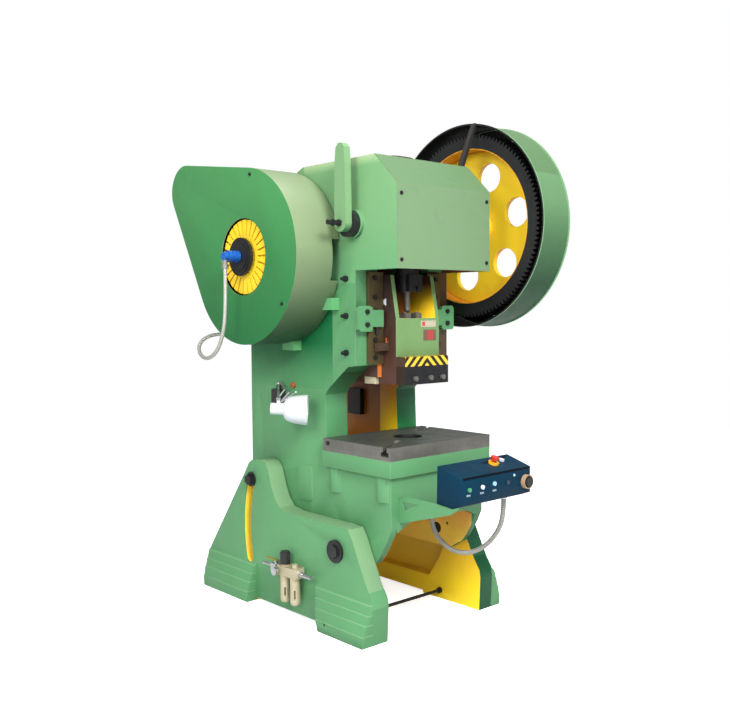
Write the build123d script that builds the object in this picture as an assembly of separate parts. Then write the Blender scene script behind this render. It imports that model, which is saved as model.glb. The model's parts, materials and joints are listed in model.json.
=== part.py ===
from build123d import *
import math
import os

# Mechanical stamping press: an inclinable C-frame press on two legs. All sizes are in mm.
# X is the operator's right, Y runs from the operator to the back, Z is up from the floor.

# main sizes
frame_half = 325
wall = 40
column_inner = 180
bed_overhang = 30
bed_half = frame_half + bed_overhang
bed_depth = 507
bed_top = 874.6
bed_bottom = 794
bolster_depth = 497
bolster_thick = 64
bolster_top = bed_top + bolster_thick
front_plate_y = 28
column_front = 276
head_bottom = 1781
head_front = -23
head_top = 2327
slide_axis_y = 248.4

# crank, gears and drive
crank_y = 248.4
crank_z = 2033.2
crank_throw = 50
ball_z = 1590
gear_module = 8
gear_teeth = 120
pinion_teeth = 32
shaft_y = 831
shaft_z = 1863
gear_gap = 127
gear_wide = 148
gear_x0 = frame_half + gear_gap
gear_x1 = gear_x0 + gear_wide
motor_y = 1390
motor_z = 2250
flywheel_r = 415
motor_pulley_r = 95
clutch_out = 30
belt_gap = 180.5
belt_x0 = -frame_half - belt_gap
belt_pitch = 28
running = 0.05
gap = 0.3

# slide and guides
slide_half = 153
slide_front = 170
slide_back = 470
slide_bottom = 1217
slide_floor = 1545
slide_top = 1761
knockout_back = 244
shank_r = 25
shank_depth = 85

# legs
leg_gap = 6
leg_wide = 99
foot_flare = 65
leg_inner = frame_half + leg_gap
leg_outer = leg_inner + leg_wide
foot_outer = leg_outer + foot_flare
pivot_y = 313
pivot_z = 405
slot_radius = 763
slot_top_angle = 20.2
slot_low_angle = -13.2
clamp_angle = 19.9
clamp_r = 20
slot_width = 64
anchor_x = 400
anchor_front_y = 425
anchor_back_y = 1320
anchor_r = 14
tie_y = 332
tie_z = 45

# the row's origin lies between the four anchor holes, on the floor
anchor_mid_y = (anchor_front_y + anchor_back_y) / 2

pieces = {}


def keep(name, *shapes):
    """Stores one node, made of one or more separate solids."""
    solids = []
    for shape in shapes:
        solids.extend(shape.solids())
    pieces[name] = solids


def box(x0, x1, y0, y1, z0, z1):
    return Pos((x0 + x1) / 2, (y0 + y1) / 2, (z0 + z1) / 2) * Box(x1 - x0, y1 - y0, z1 - z0)


def slab(points, x0, x1):
    """A side-view outline of (y, z) points, drawn out along X."""
    outline = Wire.make_polygon([Vector(x0, y, z) for y, z in points], close=True)
    return Part() + extrude(Face(outline), amount=x1 - x0, dir=(1, 0, 0))


def front(points, y0, y1):
    """A front-view outline of (x, z) points, drawn out along Y."""
    outline = Wire.make_polygon([Vector(x, y0, z) for x, z in points], close=True)
    return Part() + extrude(Face(outline), amount=y1 - y0, dir=(0, 1, 0))


def bar(start, direction, radius, length):
    low = (Align.CENTER, Align.CENTER, Align.MIN)
    return Part() + Plane(origin=start, z_dir=direction) * Cylinder(radius, length, align=low)


def rod_x(y, z, radius, x0, x1):
    return bar((x0, y, z), (1, 0, 0), radius, x1 - x0)


def rod_y(x, z, radius, y0, y1):
    return bar((x, y0, z), (0, 1, 0), radius, y1 - y0)


def rod_z(x, y, radius, z0, z1):
    return bar((x, y, z0), (0, 0, 1), radius, z1 - z0)


def hexagon(start, direction, across, length):
    shape = RegularPolygon(across / 2, 6, major_radius=False)
    return Part() + extrude(Plane(origin=start, z_dir=direction) * shape, amount=length)


def flip(shape):
    return mirror(shape, about=Plane.YZ)


def at(centre_y, centre_z, radius, degrees):
    angle = math.radians(degrees)
    return centre_y + radius * math.cos(angle), centre_z + radius * math.sin(angle)


def racetrack(y1, z1, r1, y2, z2, r2, x0, x1):
    """Two round ends joined by their outer tangents, drawn out along X."""
    turn = math.degrees(math.atan2(z2 - z1, y2 - y1))
    spread = math.degrees(math.acos((r1 - r2) / math.hypot(y2 - y1, z2 - z1)))
    corners = [at(y1, z1, r1, turn + spread), at(y2, z2, r2, turn + spread)]
    corners += [at(y2, z2, r2, turn - spread), at(y1, z1, r1, turn - spread)]
    return slab(corners, x0, x1) + rod_x(y1, z1, r1, x0, x1) + rod_x(y2, z2, r2, x0, x1)


def arc_slot(radius, width, low, high, x0, x1):
    """The curved leg slot round the tilt pivot."""
    ring = rod_x(pivot_y, pivot_z, radius + width / 2, x0, x1)
    ring -= rod_x(pivot_y, pivot_z, radius - width / 2, x0, x1)
    reach = radius * 1.4
    wedge = slab([(pivot_y, pivot_z), at(pivot_y, pivot_z, reach, low),
                  at(pivot_y, pivot_z, reach, high)], x0, x1)
    slot = ring & wedge
    for angle in (low, high):
        y, z = at(pivot_y, pivot_z, radius, angle)
        slot += rod_x(y, z, width / 2, x0, x1)
    return slot


def tooth_angle(pitch_r, base_r, half_pitch, radius):
    """Half the angle a tooth takes up at a radius."""
    def roll(r):
        a = math.acos(min(1, base_r / r))
        return math.tan(a) - a
    return half_pitch + roll(pitch_r) - roll(max(radius, base_r))


def gear_outline(teeth, centre_y, centre_z, first):
    """Points of a spur gear; a tooth's middle lies at the angle given."""
    pitch_r = gear_module * teeth / 2
    base_r = pitch_r * math.cos(math.radians(20))
    half_pitch = (math.pi * gear_module / 4 - 0.35) / pitch_r
    radii = [pitch_r - 1.25 * gear_module, pitch_r, pitch_r + 0.97 * gear_module]
    points = []
    for k in range(teeth):
        middle = first + k * 360 / teeth
        spans = [math.degrees(tooth_angle(pitch_r, base_r, half_pitch, r)) for r in radii]
        for r, span in zip(radii, spans):
            points.append(at(centre_y, centre_z, r, middle - span))
        for r, span in zip(reversed(radii), reversed(spans)):
            points.append(at(centre_y, centre_z, r, middle + span))
    return points


def tube(points, radius, name):
    """A cord or pipe along straight runs with rounded turns; prints its smallest bend."""
    path = [Vector(*p) for p in points]
    radii = []
    for a, b, c in zip(path, path[1:], path[2:]):
        into = (b - a)
        out = (c - b)
        half = math.radians(into.get_angle(out)) / 2
        radii.append(0.45 * min(into.length, out.length) / math.tan(half))
    line = FilletPolyline(*path, radius=radii)
    shape = sweep(Plane(origin=path[0], z_dir=path[1] - path[0]) * Circle(radius), path=line)
    print(name, "bend radii", [round(r) for r in radii],
          "volume", round(shape.volume), "of", round(math.pi * radius ** 2 * line.length))
    return Part() + shape


# the legs

foot_ledges = [55, 105, 150, 195]


def foot_outline():
    """Front view of a foot: it tapers to the leg's plate with a small ledge at each height."""
    points = [(leg_inner, 0), (foot_outer, 0)]
    reach = foot_outer
    for z in foot_ledges:
        points += [(reach, z), (reach - 5, z + 3)]
        reach -= 16
    top = foot_ledges[-1] + 20
    return points + [(leg_outer - 4, top), (leg_inner, top)]


def leg(side):
    outline = [(62, 15), (42, 175), (48, 215), (80, 262), (105, 305), (192, 482), (221, 526),
               (296, 530), (686, 530), (775, 545), (815, 585), (843, 640), (877, 734),
               (905, 768), (950, 781), (1026, 772), (1058, 752), (1081, 716), (1454, 215),
               (1452, 176), (1434, 15)]
    body = slab(outline, leg_inner, leg_outer)
    front_foot = [(50, 0), (385, 0), (392, 30), (470, 215), (48, 215), (42, 176)]
    rear_foot = [(997, 0), (1432, 0), (1452, 176), (1454, 215), (997, 215)]
    for outline in (front_foot, rear_foot):
        body += front(foot_outline(), 30, 1460) & slab(outline, leg_inner - 1, foot_outer + 1)
    body += box(leg_inner, leg_outer, 380, 465, 0, 20)
    # the cast leg is hollow on its inner side behind the front pad
    hollow = [(420, 110), (345, 215), (290, 330), (320, 450), (420, 490), (700, 490), (790, 510),
              (840, 600), (880, 700), (940, 735), (985, 735), (930, 600), (925, 420), (930, 260),
              (960, 110)]
    body -= slab(hollow, leg_inner - 1, leg_outer - 28)
    body -= box(leg_inner - 1, foot_outer - 45, 1115, 1380, 38, 132)
    rear = [(1120, 150), (1345, 150), (1130, 500)]
    body -= slab(rear, leg_inner - 1, leg_outer - 28)
    # pads that touch the frame
    body += rod_x(pivot_y, pivot_z, 80, frame_half + 0.3, leg_outer)
    body += rod_x(*at(pivot_y, pivot_z, slot_radius, 4), 52, frame_half + 0.3, leg_inner)
    body -= rod_x(pivot_y, pivot_z, 30, 300, 520)
    body -= arc_slot(slot_radius, slot_width, slot_low_angle, slot_top_angle, 300, 520)
    for y in (anchor_front_y, anchor_back_y):
        body -= rod_z(anchor_x, y, anchor_r, -5, 60)
    body -= rod_x(tie_y, tie_z, 9, 300, 520)
    return body if side > 0 else flip(body)


def make_legs():
    keep("left_leg", leg(-1))
    keep("right_leg", leg(1))
    rod = rod_x(tie_y, tie_z, 8.9, -foot_outer + 12, foot_outer - 12)
    nuts = []
    for side in (-1, 1):
        nut = hexagon((leg_inner - 16, tie_y, tie_z), (1, 0, 0), 30, 16) - rod_x(tie_y, tie_z, 8.9, 0, 500)
        nuts.append(nut if side > 0 else flip(nut))
    keep("tie_rod", rod, *nuts)
    pins = []
    for side in (-1, 1):
        pin = rod_x(pivot_y, pivot_z, 30, frame_half - wall, leg_outer + 4)
        pin += rod_x(pivot_y, pivot_z, 56, leg_outer, leg_outer + 14)
        pin += hexagon((leg_outer + 14, pivot_y, pivot_z), (1, 0, 0), 62, 12)
        pins.append(pin if side > 0 else flip(pin))
    keep("pivot_bolts", *pins)


# the air unit on the left leg

unit_x = -(leg_outer + 42)
filter_y = 675
oiler_y = 592
unit_z = 245


def make_air_unit():
    wide = 29
    back = -leg_outer
    solids = [box(back - 6, back, 570, 700, unit_z - 25, unit_z + 25) +
              box(unit_x + 28, back - 6, 622, 646, unit_z - 16, unit_z + 16)]
    for y in (filter_y, oiler_y):
        head = box(unit_x - 28, unit_x + 28, y - wide - 12.3, y + wide + 12.3, unit_z - 24, unit_z + 24)
        head += rod_z(unit_x, y, 27, unit_z - 34, unit_z - 24)
        if y == filter_y:
            head += rod_z(unit_x, y, 24, unit_z + 24, unit_z + 31.7)
            head += rod_z(unit_x, y, 16, unit_z + 31.7, unit_z + 72)
        else:
            head += rod_z(unit_x, y, 15, unit_z + 24, unit_z + 44)
        bowl = rod_z(unit_x, y, 26, unit_z - 150, unit_z - 34)
        bowl += Pos(unit_x, y, unit_z - 150) * Sphere(26) & box(-600, -400, y - 30, y + 30, 79, unit_z - 150)
        for turn in (0, 90, 180, 270):
            a = math.radians(turn + 48)
            bowl -= Pos(unit_x + 27 * math.cos(a), y + 27 * math.sin(a), unit_z - 108) * Box(9, 9, 46)
        solids += [head, bowl]
    keep("air_unit_body", *solids)
    knob = rod_z(unit_x, filter_y, 27, unit_z + 32, unit_z + 92)
    knob += rod_z(unit_x, filter_y, 22, unit_z + 92, unit_z + 98)
    for k in range(16):
        a = math.radians(k * 22.5)
        knob -= rod_z(unit_x + 28 * math.cos(a), filter_y + 28 * math.sin(a), 2.4, unit_z + 36, unit_z + 95)
    knob -= rod_z(unit_x, filter_y, 16.3, unit_z + 31, unit_z + 80)
    keep("regulator_knob", knob)
    gauge = rod_x(filter_y + 25, unit_z - 4, 8, unit_x - 40, unit_x - 28)
    gauge += rod_x(filter_y + 25, unit_z - 4, 22, unit_x - 58, unit_x - 40)
    cock_y = filter_y + wide + 12.3
    cock = rod_y(unit_x, unit_z, 14, cock_y, cock_y + 18)
    cock += box(unit_x - 20, unit_x + 20, cock_y + 18, cock_y + 62, unit_z - 19, unit_z + 19)
    cock += rod_y(unit_x, unit_z, 13, cock_y + 62, cock_y + 74)
    cock += rod_z(unit_x, cock_y + 40, 10, unit_z + 19, unit_z + 30)
    out_y = oiler_y - wide - 12.3
    outlet = rod_y(unit_x, unit_z, 15, out_y - 26, out_y) + rod_y(unit_x, unit_z, 11, out_y - 96, out_y - 26)
    keep("air_pipework", gauge, cock, rod_y(unit_x, unit_z, 9, cock_y + 74, cock_y + 150), outlet)
    grip = rod_z(unit_x, cock_y + 40, 13, unit_z + 30.3, unit_z + 38)
    grip += box(unit_x - 8, unit_x + 8, cock_y + 40, cock_y + 118, unit_z + 31, unit_z + 37)
    grip += rod_z(unit_x, cock_y + 118, 8, unit_z + 31, unit_z + 37)
    keep("shutoff_lever", grip)


# the frame

def side_outline():
    return [(front_plate_y, 542), (front_plate_y, bed_bottom), (front_plate_y, bed_top),
            (bed_depth, bed_top), (518, 1154), (485, 1192), (335, 1306), (column_front, 1313),
            (column_front, head_bottom), (head_front + 5, head_bottom), (head_front + 5, 2178.9),
            (134.2, head_top), (684, head_top), (742, 2302), (1171, 1700), (1171, 640),
            (700, 315), (215, 315), (158, 352), (137, 361), (100, 408), (51, 490)]


def half_frame():
    half = slab(side_outline(), frame_half - wall, frame_half)
    column = [(bed_depth, bed_top), (518, 1154), (485, 1192), (335, 1306), (column_front, 1313),
              (column_front, 1880), (560, 1880), (560, 1330), (650, 1260), (650, bed_top)]
    half += slab(column, column_inner, frame_half - wall)
    half += rod_x(crank_y, crank_z, 105, 215, frame_half)
    half += rod_x(shaft_y, shaft_z, 85, 205, frame_half)
    for y in (90, 440):
        half += rod_z(frame_half - wall, y, 60, 668, bed_bottom) & box(frame_half - 5, 400, 0, 600, 600, 900)
    pad = slab([(640, 586), (728, 586), (744, 602), (744, 757), (728, 773), (640, 773), (624, 757),
                (624, 602)], frame_half, frame_half + 5)
    half += pad
    half -= rod_x(pivot_y, pivot_z, 30 + running, 200, 400)
    half -= rod_x(*at(pivot_y, pivot_z, slot_radius, clamp_angle), clamp_r, 200, 400)
    half -= rod_x(shaft_y, shaft_z, 65, 200, 400)
    return half


def make_frame():
    half = half_frame()
    right = half - rod_x(crank_y, crank_z, 70, 200, 400)
    right -= rod_x(237, 441, 8, 250, 350)
    left = flip(half) - rod_x(crank_y, crank_z, 70, -305, -200)
    left += rod_x(276, 2006, 70, -frame_half - 20, -frame_half)
    left -= rod_x(276, 2006, 12, -frame_half - 25, -frame_half + 12)
    inner = frame_half - wall
    table = box(-bed_half, bed_half, 0, bed_depth, bed_bottom, bed_top)
    table += box(-inner, inner, bed_depth, 650, bed_bottom, bed_top)
    table -= rod_z(0, 245, 100, bed_bottom - 5, bed_top + 5)
    skin = [(150, head_top), (684, head_top), (742, 2302), (1171, 1700), (1171, 1400), (1149, 1400),
            (1149, 1693), (729, 2282), (679, 2305), (150, 2305)]
    roof = slab(skin, -inner, inner) - left - right
    strap = box(-inner, inner, 1149, 1171, 660, 860)
    arch = [(-inner, bed_bottom), (-inner, 520), (-200, 560), (200, 560), (inner, 520), (inner, bed_bottom)]
    apron = front(arch, front_plate_y, front_plate_y + 30)
    back_wall = box(-inner, inner, 620, 650, 560, bed_bottom)
    # the frame is welded from plates that meet face to face
    keep("press_frame", left - table, right - table, table, roof, strap, apron, back_wall)
    crank_right = rod_x(crank_y, crank_z, 70, 215, frame_half)
    crank_left = rod_x(crank_y, crank_z, 70, -305, -215)
    journal = rod_x(crank_y, crank_z, 55 + running, -400, 400)
    ring = rod_x(shaft_y, shaft_z, 65, 205, frame_half) - rod_x(shaft_y, shaft_z, 45 + running, 200, 400)
    keep("shaft_bushes", crank_right - journal, crank_left - journal, ring, flip(ring))
    clamps = []
    y, z = at(pivot_y, pivot_z, slot_radius, clamp_angle)
    for side in (-1, 1):
        bolt = rod_x(y, z, clamp_r, frame_half - wall, leg_outer + 2)
        bolt += rod_x(y, z, 40, leg_outer + 1, leg_outer + 9)
        bolt += hexagon((leg_outer + 9, y, z), (1, 0, 0), 50, 22)
        clamps.append(bolt if side > 0 else flip(bolt))
    keep("tilt_clamp_bolts", *clamps)


def make_bolster():
    low = bed_top
    body = box(-bed_half, bed_half, 0, bolster_depth, low, bolster_top)
    body -= rod_z(0, 245, 75, low - 5, bolster_top + 5)
    for x0, y0, x1, y1 in ((-380, 24, -161, 157), (203, 374, 390, 461)):
        length = math.hypot(x1 - x0, y1 - y0)
        turn = math.degrees(math.atan2(y1 - y0, x1 - x0))
        middle = Pos((x0 + x1) / 2, (y0 + y1) / 2, 0) * Rot(0, 0, turn)
        body -= middle * Pos(0, 0, bolster_top) * Box(length, 24, 60)
        body -= middle * Pos(0, 0, low + 30) * Box(length, 46, 20)
        end = (x1, y1) if x0 < -bed_half else (x0, y0)
        body -= rod_z(end[0], end[1], 23, low + 20, bolster_top + 5)
    keep("bolster", body)


def make_head_cover():
    outline = [(head_front, head_bottom), (head_front, 2181), (127, head_top), (134.2, head_top),
               (head_front + 5, 2178.9), (head_front + 5, head_bottom)]
    keep("head_cover", slab(outline, -frame_half, frame_half))


# guides

def make_guides():
    bars = []
    bolts = []
    brackets = []
    low = column_front - 22
    for side in (-1, 1):
        guide = box(157, 254, column_front - 20, column_front, 1320, 1775)
        rail = box(157, column_inner, slide_back + gap, slide_back + 32, 1340, 1775)
        ears = [(255.5, 1482), (325, 1482), (337, 1494), (337, 1596), (325, 1608), (265, 1608),
                (247, 1600), (247, 1588), (173, 1588), (173, 1504), (247, 1504), (247, 1490)]
        bracket = front(ears, low - 18, low) + box(255.5, 325, low, column_front, 1490, 1600)
        bracket -= rod_z(210, low - 9, 6, 1490, 1600)
        for shape, group in ((guide, bars), (rail, bars), (bracket, brackets)):
            group.append(shape if side > 0 else flip(shape))
        for z in (1352, 1440, 1650, 1745):
            bolts.append(rod_y(side * 215, z, 12, column_front - 30, column_front - 20))
        for z in (1516, 1579):
            bolts.append(rod_y(side * 285, z, 12, low - 28, low - 18))
        bolts.append(rod_z(side * 210, low - 9, 6, 1482, 1600) + rod_z(side * 210, low - 9, 10, 1468, 1482))
    for z in (1376, 1559, 1742):
        screw = rod_x(342, z, 15, -frame_half - 5, -frame_half)
        screw += hexagon((-frame_half - 17, 342, z), (1, 0, 0), 26, 12)
        bolts.append(screw + rod_x(342, z, 9, -frame_half - 34, -frame_half - 17))
    keep("slide_guides", *bars)
    keep("knockout_brackets", *brackets)
    keep("guide_bolts", *bolts)
    keep("knockout_bar", box(-226, 226, 222, knockout_back, 1385 + gap, 1425))


# crank, rod and gear

def make_crank():
    pin_z = crank_z + crank_throw
    shaft = rod_x(crank_y, crank_z, 55, -302, -213) + rod_x(crank_y, crank_z, 60, -213, -68)
    shaft += rod_x(crank_y, crank_z, 60, 68, 213) + rod_x(crank_y, crank_z, 55, 213, 330)
    shaft += rod_x(crank_y, crank_z, 50, 330, 612)
    shaft += rod_x(crank_y, pin_z, 50, -68, 68)
    for x0, x1 in ((-118, -66), (66, 118)):
        shaft += racetrack(crank_y, crank_z, 76, crank_y, pin_z, 72, x0, x1)
    keep("crankshaft", shaft)
    mesh_turn = math.degrees(math.atan2(shaft_z - crank_z, shaft_y - crank_y))
    gear = slab(gear_outline(gear_teeth, crank_y, crank_z, mesh_turn), gear_x0, gear_x1)
    gear -= rod_x(crank_y, crank_z, 411, gear_x0 - 1, 546.6) + rod_x(crank_y, crank_z, 411, 574, gear_x1 + 1)
    gear += rod_x(crank_y, crank_z, 96, 500, 612)
    for k in range(6):
        gear -= rod_x(*at(crank_y, crank_z, 273.8, 106.3 + 60 * k), 78, 500, 620)
    gear -= rod_x(crank_y, crank_z, 50, 400, 700)
    keep("bull_gear", gear)


def make_rod():
    pin_z = crank_z + crank_throw
    ring = rod_x(crank_y, pin_z, 94, -62, 62) - rod_x(crank_y, pin_z, 50 + running, -70, 70)
    lugs = box(-50, 50, crank_y - 112, crank_y + 112, pin_z - 34, pin_z + 34)
    whole = ring + (lugs - rod_x(crank_y, pin_z, 50 + running, -70, 70))
    upper = whole & box(-80, 80, 0, 500, pin_z, pin_z + 200)
    lower = whole & box(-80, 80, 0, 500, pin_z - 200, pin_z)
    shank = [(crank_y - 70, pin_z - 60), (crank_y + 70, pin_z - 60), (crank_y + 52, 1790), (crank_y - 52, 1790)]
    lower += slab(shank, -52, 52) - rod_x(crank_y, pin_z, 50 + running, -70, 70)
    lower += rod_z(0, slide_axis_y, 60, 1678, 1830)
    lower += box(-46, 46, slide_axis_y - 66, slide_axis_y, 1678, 1765)
    lower -= rod_z(0, slide_axis_y, 20, 1600, 1795)
    keep("connecting_rod", lower)
    keep("rod_cap", upper)
    heads = []
    for y in (crank_y - 103, crank_y + 103):
        for x in (-25, 25):
            heads.append(hexagon((x, y, pin_z + 34), (0, 0, 1), 16, 12))
    screw = rod_z(0, slide_axis_y, 15.5, ball_z, 1690) + rod_z(0, slide_axis_y, 20, 1678, 1795)
    keep("ball_screw", screw + Pos(0, slide_axis_y, ball_z) * Sphere(17))
    heads.append(rod_y(12, 1694, 13, slide_axis_y - 78, slide_axis_y - 66))
    keep("rod_bolts", *heads)


def make_pinion():
    mesh_turn = math.degrees(math.atan2(shaft_z - crank_z, shaft_y - crank_y)) + 180
    first = mesh_turn + 180 / pinion_teeth
    shaft = rod_x(shaft_y, shaft_z, 45, -560 - clutch_out, gear_x0) + rod_x(shaft_y, shaft_z, 45, gear_x1, 606)
    shaft += rod_x(shaft_y, shaft_z, 58, frame_half + 3, gear_x0)
    shaft += slab(gear_outline(pinion_teeth, shaft_y, shaft_z, first), gear_x0, gear_x1)
    shaft -= rod_x(shaft_y, shaft_z, 8, -561 - clutch_out, -420)
    keep("pinion_shaft", shaft)
    hub = rod_x(shaft_y, shaft_z, 88, -598, -572) + rod_x(shaft_y, shaft_z, 70, -604, -598)
    hub -= rod_x(shaft_y, shaft_z, 8, -610, -560)
    hub += rod_x(shaft_y, shaft_z, 60, -572, -560) - rod_x(shaft_y, shaft_z, 8, -610, -550)
    hub += rod_x(shaft_y, shaft_z, 98, -594, -578) - rod_x(shaft_y, shaft_z, 80, -600, -560)
    keep("clutch_cylinder", Pos(-clutch_out, 0, 0) * hub)


def make_flywheel():
    wheel = rod_x(shaft_y, shaft_z, flywheel_r, -520, -392)
    wheel -= rod_x(shaft_y, shaft_z, flywheel_r - 60, -521, -470)
    wheel -= rod_x(shaft_y, shaft_z, flywheel_r - 60, -442, -391)
    wheel += rod_x(shaft_y, shaft_z, 110, -532 - clutch_out, -372)
    for k in range(4):
        x0 = belt_x0 + belt_pitch * k
        wheel -= rod_x(shaft_y, shaft_z, flywheel_r + 5, x0, x0 + 15) - \
            rod_x(shaft_y, shaft_z, flywheel_r - 10, x0, x0 + 15)
    wheel -= rod_x(shaft_y, shaft_z, 45 + running, -600, -300)
    keep("flywheel", wheel)
    disc = rod_x(shaft_y, shaft_z, 190, -562, -532) - rod_x(shaft_y, shaft_z, 62, -600, -500)
    for k in range(26):
        angle = 360 / 26 * k
        low = at(shaft_y, shaft_z, 112, angle)
        tip = at(shaft_y, shaft_z, 196, angle)
        side_y, side_z = at(0, 0, 4.5, angle + 90)
        cut = [(low[0] - side_y, low[1] - side_z), (low[0] + side_y, low[1] + side_z),
               (tip[0] + side_y, tip[1] + side_z), (tip[0] - side_y, tip[1] - side_z)]
        disc -= slab(cut, -563, -546)
    keep("clutch_disc", Pos(-clutch_out, 0, 0) * disc)
    belts = []
    for k in range(4):
        x0 = belt_x0 + belt_pitch * k + 2
        loop = racetrack(shaft_y, shaft_z, flywheel_r + 2, motor_y, motor_z, motor_pulley_r + 2, x0, x0 + 11)
        loop -= racetrack(shaft_y, shaft_z, flywheel_r - 10 + gap, motor_y, motor_z,
                          motor_pulley_r - 10 + gap, x0 - 1, x0 + 12)
        belts.append(loop)
    keep("drive_belts", *belts)


def make_union():
    body = rod_x(shaft_y, shaft_z, 30, -700, -606 - clutch_out) + rod_x(shaft_y, shaft_z, 22, -722, -700)
    body -= rod_x(shaft_y, shaft_z, 24, -612 - clutch_out, -605 - clutch_out)
    for x0 in (-658, -680):
        body -= rod_x(shaft_y, shaft_z, 31, x0, x0 + 6) - rod_x(shaft_y, shaft_z, 26, x0, x0 + 6)
    keep("rotary_union", body)


# motor at the back

def make_motor():
    body = rod_x(motor_y, motor_z, 118, -230, 160) + rod_x(motor_y, motor_z, 105, -290, -230)
    body += rod_x(motor_y, motor_z, 110, 160, 200)
    for k in range(12):
        y, z = at(motor_y, motor_z, 118, 30 * k)
        body += rod_x(y, z, 5, -220, 150)
    body += box(-200, 130, motor_y - 105, motor_y + 105, motor_z - 135, motor_z - 80)
    keep("motor", body)
    spindle = rod_x(motor_y, motor_z, 21, -530, -290)
    wheel = rod_x(motor_y, motor_z, motor_pulley_r, -524, -392)
    for k in range(4):
        x0 = belt_x0 + belt_pitch * k
        wheel -= rod_x(motor_y, motor_z, motor_pulley_r + 5, x0, x0 + 15) - \
            rod_x(motor_y, motor_z, motor_pulley_r - 10, x0, x0 + 15)
    keep("motor_pulley", wheel + spindle)
    under = motor_z - 151
    slope_y = 742 + (2302 - under) * 429 / 602
    arm = [(slope_y, under), (1510, under), (1510, under - 24), (1171, 1760), (1171, 1700)]
    arms = [slab(arm, 100, 116), slab(arm, -206, -190)]
    top = box(-220, 150, 960, 1515, under, motor_z - 135)
    keep("motor_bracket", arms[0] + arms[1] + top)


# guards

def make_guards():
    outer = racetrack(shaft_y, shaft_z, 451, motor_y, motor_z, 143, -604, -334)
    inside = racetrack(shaft_y, shaft_z, 447, motor_y, motor_z, 139, -600, -330)
    guard = outer - inside
    guard -= rod_x(shaft_y, shaft_z, 197, -610, -590)
    guard -= box(-380, -330, 370, 470, 1734, 1939)
    keep("belt_guard", guard)
    feet = []
    for y, z, wide, tall in ((440, 1619, 40, 30), (760, 1405, 50, 26)):
        feet.append(box(-374, -frame_half, y - wide, y + wide, z - tall, z + tall) - outer)
    screws = []
    for y, z in ((758, 2275), (500, 1620)):
        screws.append(rod_x(y, z, 9, -609, -604))
    for x in (-300, 300):
        for z in (1822, 2130):
            screws.append(rod_y(x, z, 9, head_front - 5, head_front))
    keep("cover_screws", *screws)
    band = rod_x(crank_y, crank_z, 536, 418, 637) + rod_x(shaft_y, shaft_z, 150, 418, 637)
    band -= rod_x(crank_y, crank_z, 532, 410, 650) + rod_x(shaft_y, shaft_z, 146, 410, 650)
    for x0 in (418, 631):
        rim = rod_x(crank_y, crank_z, 541, x0, x0 + 6) + rod_x(shaft_y, shaft_z, 155, x0, x0 + 6)
        rim -= rod_x(crank_y, crank_z, 532, 400, 650) + rod_x(shaft_y, shaft_z, 146, 400, 650)
        band += rim
    keep("gear_guard", band)
    strap = front([(300, 2327), (326, 2327), (424, 2556), (424, 2568), (412, 2568)], 150, 178)
    strap &= box(200, 418, 100, 250, 2300, 2600)
    low = box(frame_half, 418, 812, 852, 1710, 1730)
    keep("guard_brackets", *feet, strap, low)


# the slide

def make_slide():
    body = box(-slide_half, slide_half, slide_front, slide_back, slide_bottom, slide_floor)
    for x0, x1 in ((-slide_half, -128), (128, slide_half)):
        cheek = [(slide_front, slide_floor), (210, slide_top), (slide_back, slide_top), (slide_back, slide_floor)]
        body += slab(cheek, x0, x1)
    body += box(-slide_half, slide_half, 372, slide_back, slide_floor, slide_top)
    for x0, x1 in ((-column_inner + gap, -slide_half), (slide_half, column_inner - gap)):
        body += box(x0, x1, column_front + gap, slide_back, 1250, slide_top)
    body -= box(-62.5, 62.5, slide_front - 5, slide_axis_y, slide_bottom - 5, 1308)
    body -= rod_z(0, slide_axis_y, shank_r, slide_bottom - 5, slide_bottom + shank_depth)
    body -= box(-200, 200, 221.5, knockout_back + 0.5, 1385, 1450)
    body -= rod_z(0, 238, 9, 1250, 1400)
    body -= box(-19.5, 19.5, 180, 316, 1470, slide_floor + 5)
    keep("slide", body)
    retainer = box(-57, 57, 200, 334, slide_floor, slide_floor + 26)
    retainer -= box(-19.5, 19.5, 190, 316, slide_floor - 5, slide_floor + 40)
    keep("ball_seat_retainer", retainer)
    bolts = []
    for x in (-42, 42):
        for y in (222, 312):
            bolts.append(rod_z(x, y, 10, slide_floor + 26, slide_floor + 32))
    keep("hazard_bar", box(-slide_half, slide_half, 105, slide_front, 1308, 1355))
    clamp = box(-slide_half, slide_half, 105, slide_front, slide_bottom, 1308)
    clamp += box(-62, 62, slide_front, slide_axis_y - 1, slide_bottom, 1307.5)
    clamp -= rod_z(0, slide_axis_y, shank_r, slide_bottom - 5, slide_bottom + shank_depth)
    keep("shank_clamp", clamp)
    for x in (-86, 21, 108):
        bolts.append(rod_y(x, 1247, 13, 92, 105))
    keep("slide_bolts", *bolts)
    pointer = slab([(240, 1609), (273, 1627), (240, 1645)], -slide_half - 2, -slide_half)
    name_plate = box(22, 128, slide_front - 2, slide_front, 1500, 1532)
    data_plate = box(40, 128, slide_front - 3, slide_front, 1432, 1486)
    keep("slide_plates", pointer, name_plate, data_plate)


# side lever

def make_lever():
    y = 276
    z = 2006
    stud = rod_x(y, z, 12, -499, -frame_half + 12)
    for x0 in (-434, -470):
        stud += hexagon((x0, y, z), (1, 0, 0), 30, 12)
    keep("lever_stud", stud + rod_x(y, z, 65, -380.7, -frame_half - 20))
    arm = [(y - 42, z - 2), (y - 38, 2290), (y - 30, 2366), (y - 12, 2386), (y + 12, 2386), (y + 30, 2366),
           (y + 38, 2290), (y + 42, z - 2)]
    body = slab(arm, -420, -381) + rod_x(y, z, 42, -420, -381)
    keep("side_lever", body - rod_x(y, z, 12 + running, -430, -370))


# console and its arms

def on_top(x, y):
    """A place on the console's sloping top and the way out of it."""
    rise = 42 / 141
    return (x, y, 872 + (y + 212) * rise), (0, -42, 141)


def on_front(x, drop):
    """A place on the console's front face and the way out of it."""
    return (x, -353, 830 - drop), (0, -1, 0)


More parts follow.
